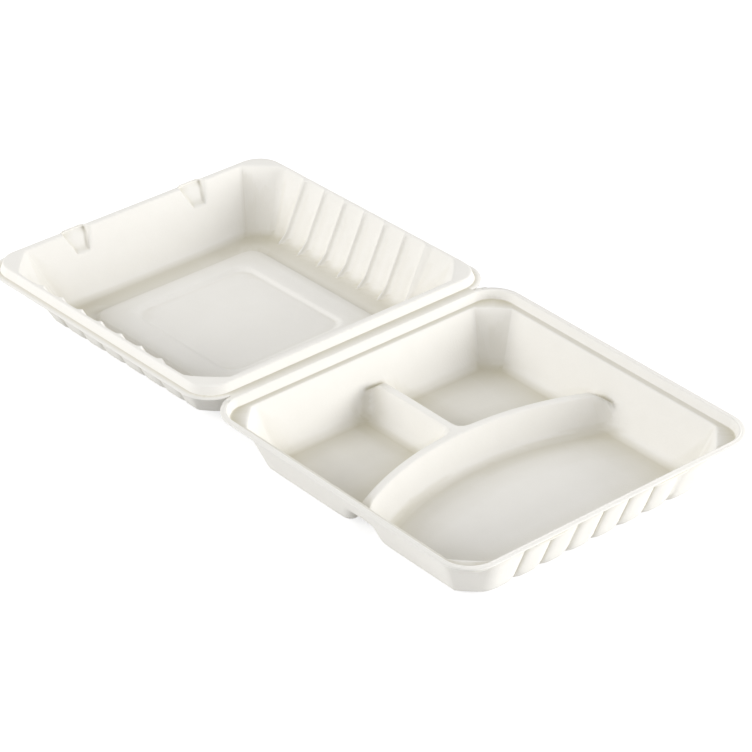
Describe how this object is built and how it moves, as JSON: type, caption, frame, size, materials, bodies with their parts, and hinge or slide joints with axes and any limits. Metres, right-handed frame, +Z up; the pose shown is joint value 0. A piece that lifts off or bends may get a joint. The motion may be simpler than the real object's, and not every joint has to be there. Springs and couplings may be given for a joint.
{
  "type": "molded fiber takeout container",
  "caption": "Open hinged takeout clamshell of pressed off-white fiber, with a divided tray, a fluted lid and a flat foldable hinge strip.",
  "frame": {"origin": "on the table, under the middle of the crease between tray and lid", "axes": "+X from the crease to the tray's front, +Y along the crease, +Z up"},
  "size_m": [0.4599, 0.23, 0.0446],
  "materials": {
    "molded_fiber": "matte pressed fiber"
  },
  "bodies": {
    "tray": {"tray": "molded_fiber"},
    "lid": {"lid": "molded_fiber"}
  },
  "joints": [
    {"name": "lid_hinge", "type": "hinge", "parent": "tray", "child": "lid", "pos_m": [0, 0, 0.0394], "axis": [0, 1, 0], "range_deg": [0, 181.38]}
  ]
}
